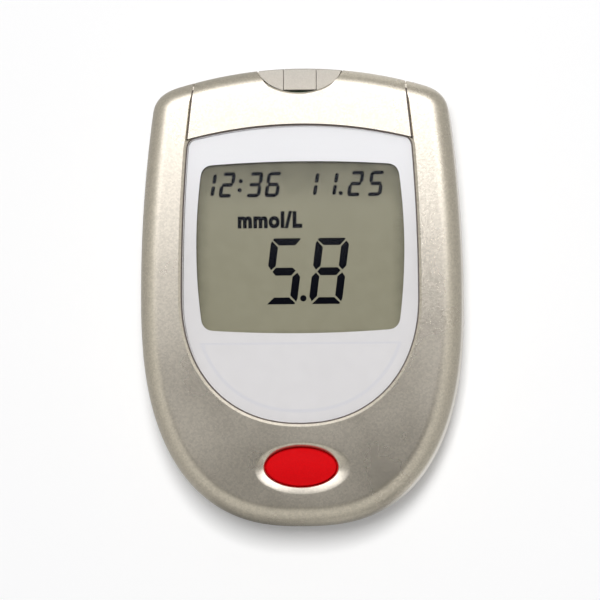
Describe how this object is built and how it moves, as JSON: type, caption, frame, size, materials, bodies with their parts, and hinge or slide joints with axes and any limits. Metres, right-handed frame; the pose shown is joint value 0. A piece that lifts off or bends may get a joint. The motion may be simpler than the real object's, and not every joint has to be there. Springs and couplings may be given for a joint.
{
  "type": "blood glucose meter",
  "caption": "Handheld blood glucose meter: rounded silver case, white lens round a grey display, strip port cover and a red oval button.",
  "frame": {"origin": "centre of the bounding box's bottom, on the flat back that the meter lies on", "axes": "+Z out of the display, +Y towards the test strip port, +X to the right as the display is read"},
  "size_m": [0.064, 0.0914, 0.022],
  "materials": {
    "silver_paint": "ABS with fine-grained champagne-silver metallic paint, satin",
    "matte_beige": "fine matte moulded plastic, warm light grey",
    "clear_acrylic": "clear polished acrylic",
    "white_film": "bluish-white printed film with adhesive back",
    "panel_glass": "grey-green liquid crystal glass",
    "reflector_film": "satin reflector film",
    "white_plastic": "moulded white plastic",
    "grey_rubber": "layered elastomer",
    "board_green": "green solder mask on glass-epoxy",
    "black_plastic": "black moulded plastic",
    "gold_metal": "gold-plated spring bronze",
    "tinned_metal": "tin-plated sheet steel",
    "screw_steel": "zinc-plated steel",
    "red_plastic": "satin red plastic",
    "grey_plastic": "moulded grey plastic",
    "cell_wrap": "plain printed wrap over a metal can"
  },
  "bodies": {
    "case": {"front_housing": "silver_paint", "rear_housing": "silver_paint", "top_cover": "silver_paint", "port_insert": "matte_beige", "strip_guide": "matte_beige", "display_lens": "clear_acrylic", "lens_mask": "white_film", "lcd_panel": "panel_glass", "lcd_reflector": "reflector_film", "lcd_holder": "white_plastic", "zebra_strip_lower": "grey_rubber", "zebra_strip_upper": "grey_rubber", "circuit_board": "board_green", "strip_connector": "black_plastic", "controller_chip": "black_plastic", "beeper": "black_plastic", "strip_contact_1": "gold_metal", "strip_contact_2": "gold_metal", "strip_contact_3": "gold_metal", "strip_contact_4": "gold_metal", "clock_crystal": "tinned_metal", "main_switch": "tinned_metal", "set_switch": "tinned_metal", "contact_positive": "tinned_metal", "contact_negative": "tinned_metal", "contact_bridge": "tinned_metal", "case_screw_1": "screw_steel", "case_screw_2": "screw_steel", "case_screw_3": "screw_steel", "case_screw_4": "screw_steel", "board_screw_1": "screw_steel", "board_screw_2": "screw_steel", "battery_1": "cell_wrap", "battery_2": "cell_wrap"},
    "main_button": {"main_button": "red_plastic", "main_plunger": "black_plastic"},
    "battery_door": {"battery_door": "silver_paint"},
    "set_button": {"set_button": "grey_plastic", "set_plunger": "black_plastic"}
  },
  "joints": [
    {"name": "main_button_press", "type": "slide", "parent": "case", "child": "main_button", "axis": [0, 0, -1], "range_m": [0, 0.0005], "stiffness_N_per_m": 2000, "springref_m": -0.0002},
    {"name": "battery_door_slide", "type": "slide", "parent": "case", "child": "battery_door", "axis": [0, -1, 0], "range_m": [0, 0.008]},
    {"name": "set_button_press", "type": "slide", "parent": "case", "child": "set_button", "axis": [0, 0, 1], "range_m": [0, 0.0004], "stiffness_N_per_m": 1500, "springref_m": -0.0002}
  ]
}
